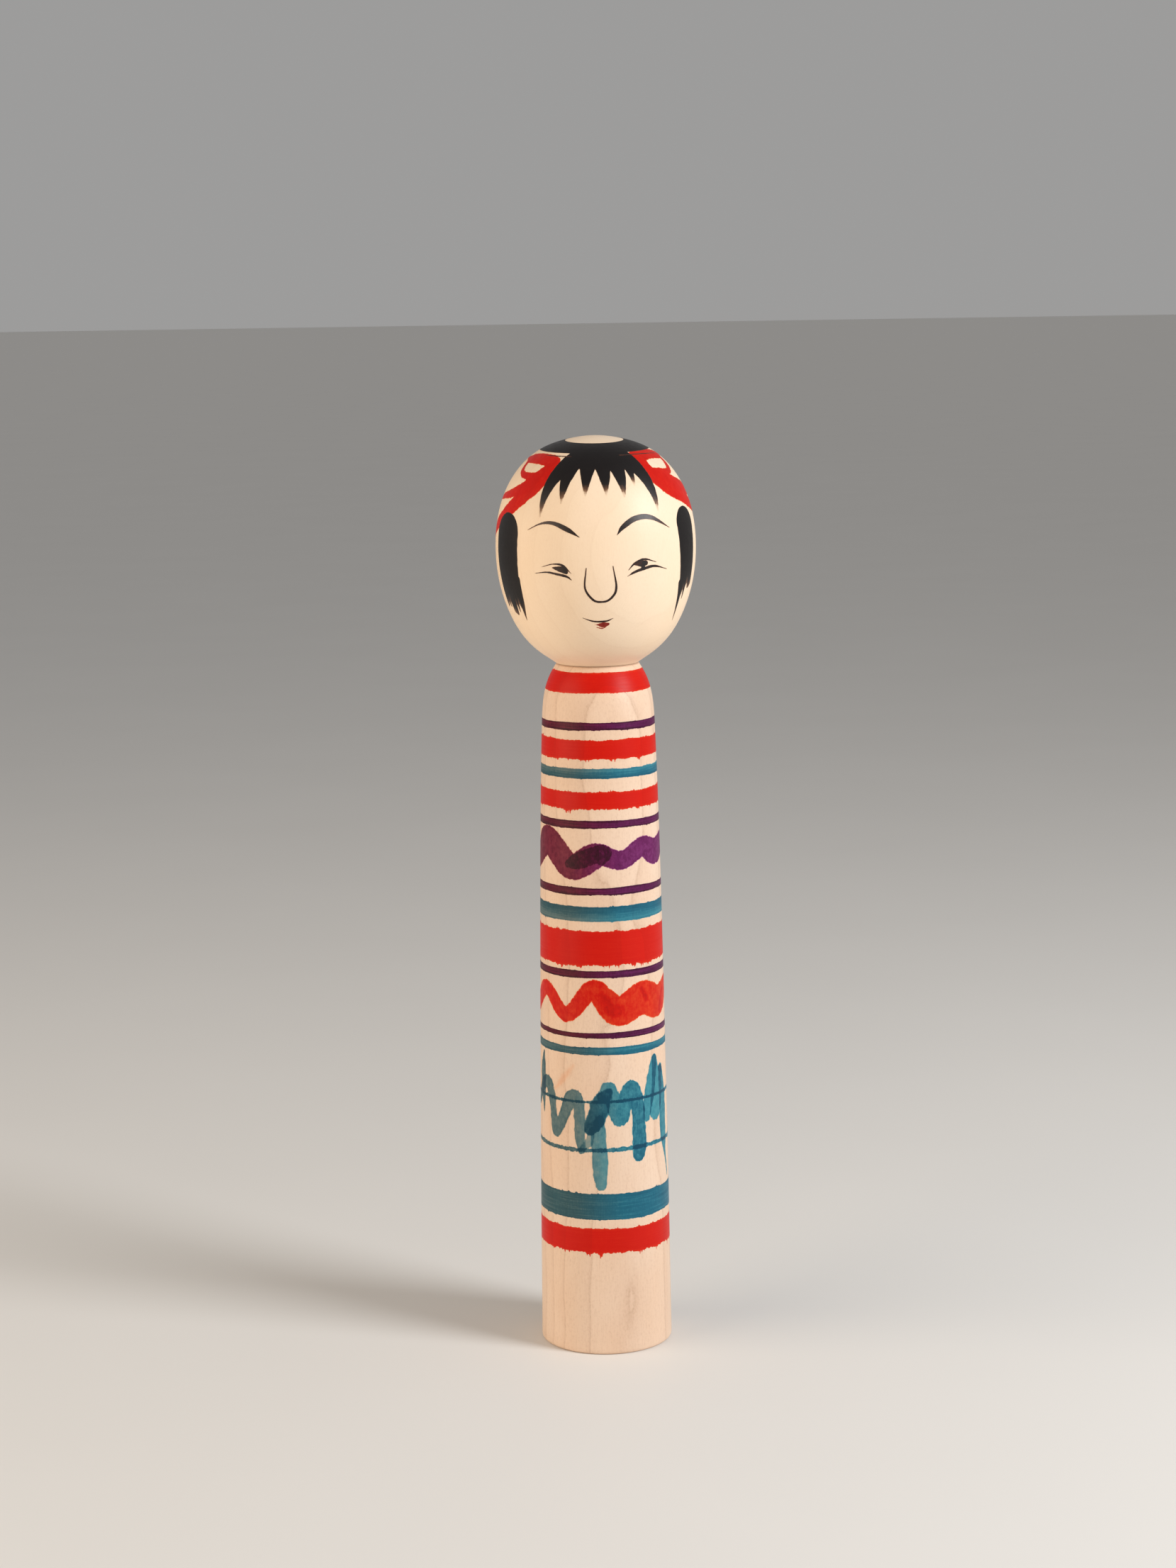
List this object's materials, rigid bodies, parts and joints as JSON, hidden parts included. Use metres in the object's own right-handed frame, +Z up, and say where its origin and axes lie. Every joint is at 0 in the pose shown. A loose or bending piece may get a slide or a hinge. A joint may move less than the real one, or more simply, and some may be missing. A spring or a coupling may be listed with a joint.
{
  "type": "kokeshi doll",
  "caption": "Turned wooden kokeshi doll: a painted ball head that turns on a snap-in tenon over a slim tapered body with lathe-painted bands.",
  "frame": {"origin": "centre of the base, on the surface that the doll stands on", "axes": "+Z up along the doll's turning axis, the painted face looks towards -Y, +X is to the viewer's right"},
  "size_m": [0.052, 0.052, 0.242],
  "materials": {
    "head_wood": "satin",
    "body_wood": "satin",
    "black_ink": "satin",
    "red_dye": "satin",
    "purple_dye": "satin",
    "teal_dye": "satin"
  },
  "bodies": {
    "body": {"body": "body_wood"},
    "head": {"head": "head_wood"}
  },
  "joints": [
    {"name": "head_turn", "type": "hinge", "parent": "body", "child": "head", "pos_m": [0, 0, 0.183], "axis": [0, 0, 1], "continuous": true}
  ]
}
